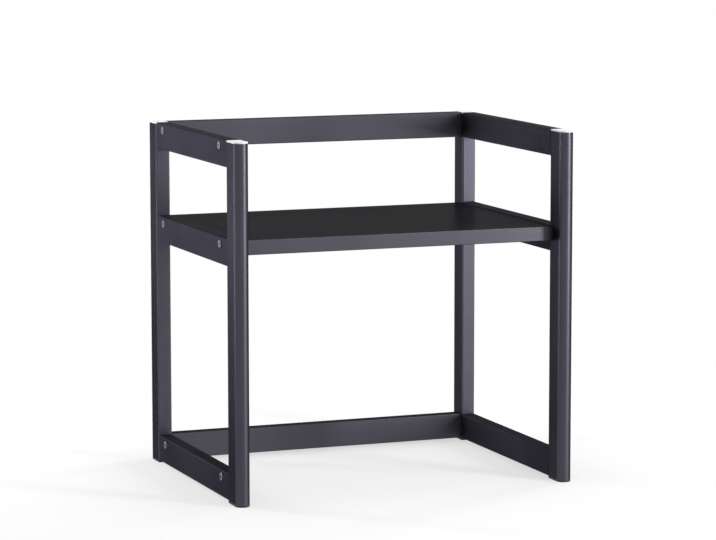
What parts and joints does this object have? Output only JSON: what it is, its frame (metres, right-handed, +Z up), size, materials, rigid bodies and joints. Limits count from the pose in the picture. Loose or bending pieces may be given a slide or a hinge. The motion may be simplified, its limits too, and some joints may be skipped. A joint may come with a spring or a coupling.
{
  "type": "two tier countertop stand",
  "caption": "Open two tier aluminium countertop stand: two ladder side frames of D shaped posts and flat rails, joined by rear rails and a bolted shelf.",
  "frame": {"origin": "on the floor, at the middle of the footprint", "axes": "+X to the right seen from the front, +Y to the back, +Z up; the front faces -Y"},
  "size_m": [0.5412, 0.42, 0.5365],
  "materials": {
    "gunmetal_aluminium": "satin gunmetal anodised extrusion and sheet",
    "plain_aluminium": "mill finish sheet",
    "rivet_aluminium": "plain blind rivets",
    "cap_plastic": "glossy pale moulded cap",
    "pad_rubber": "matt black moulded pad",
    "connector_nylon": "black moulded nylon",
    "foam": "dark closed cell strip",
    "bracket_steel": "zinc plated sheet",
    "bolt_steel": "bright turned bolt",
    "zinc_steel": "zinc plated"
  },
  "bodies": {
    "root": {"front_connector_screws": "zinc_steel", "front_left_foot_pad": "pad_rubber", "front_left_post": "gunmetal_aluminium", "front_left_post_cap": "cap_plastic", "front_left_post_nut_plates": "zinc_steel", "front_right_foot_pad": "pad_rubber", "front_right_post": "gunmetal_aluminium", "front_right_post_cap": "cap_plastic", "front_right_post_nut_plates": "zinc_steel", "left_bottom_rail": "gunmetal_aluminium", "left_bottom_rail_connectors": "connector_nylon", "left_middle_rail": "gunmetal_aluminium", "left_middle_rail_connectors": "connector_nylon", "left_rail_bolts": "bolt_steel", "left_rail_nuts": "zinc_steel", "left_top_rail": "gunmetal_aluminium", "left_top_rail_connectors": "connector_nylon", "rear_bottom_rail": "gunmetal_aluminium", "rear_bottom_rail_connectors": "connector_nylon", "rear_connector_screws": "zinc_steel", "rear_left_foot_pad": "pad_rubber", "rear_left_post": "gunmetal_aluminium", "rear_left_post_cap": "cap_plastic", "rear_left_post_nut_plates": "zinc_steel", "rear_rail_bolts": "bolt_steel", "rear_rail_nuts": "zinc_steel", "rear_right_foot_pad": "pad_rubber", "rear_right_post": "gunmetal_aluminium", "rear_right_post_cap": "cap_plastic", "rear_right_post_nut_plates": "zinc_steel", "rear_top_rail": "gunmetal_aluminium", "rear_top_rail_connectors": "connector_nylon", "right_bottom_rail": "gunmetal_aluminium", "right_bottom_rail_connectors": "connector_nylon", "right_middle_rail": "gunmetal_aluminium", "right_middle_rail_connectors": "connector_nylon", "right_rail_bolts": "bolt_steel", "right_rail_nuts": "zinc_steel", "right_top_rail": "gunmetal_aluminium", "right_top_rail_connectors": "connector_nylon", "shelf_bolts": "bolt_steel", "shelf_foam_strips": "foam", "shelf_front_edge": "gunmetal_aluminium", "shelf_front_left_bracket": "bracket_steel", "shelf_front_right_bracket": "bracket_steel", "shelf_left_edge": "gunmetal_aluminium", "shelf_nut_plates": "zinc_steel", "shelf_panel": "gunmetal_aluminium", "shelf_rear_edge": "gunmetal_aluminium", "shelf_rear_left_bracket": "bracket_steel", "shelf_rear_right_bracket": "bracket_steel", "shelf_right_edge": "gunmetal_aluminium", "shelf_rivets": "rivet_aluminium", "shelf_stiffener_1": "plain_aluminium", "shelf_stiffener_2": "plain_aluminium"}
  },
  "joints": []
}
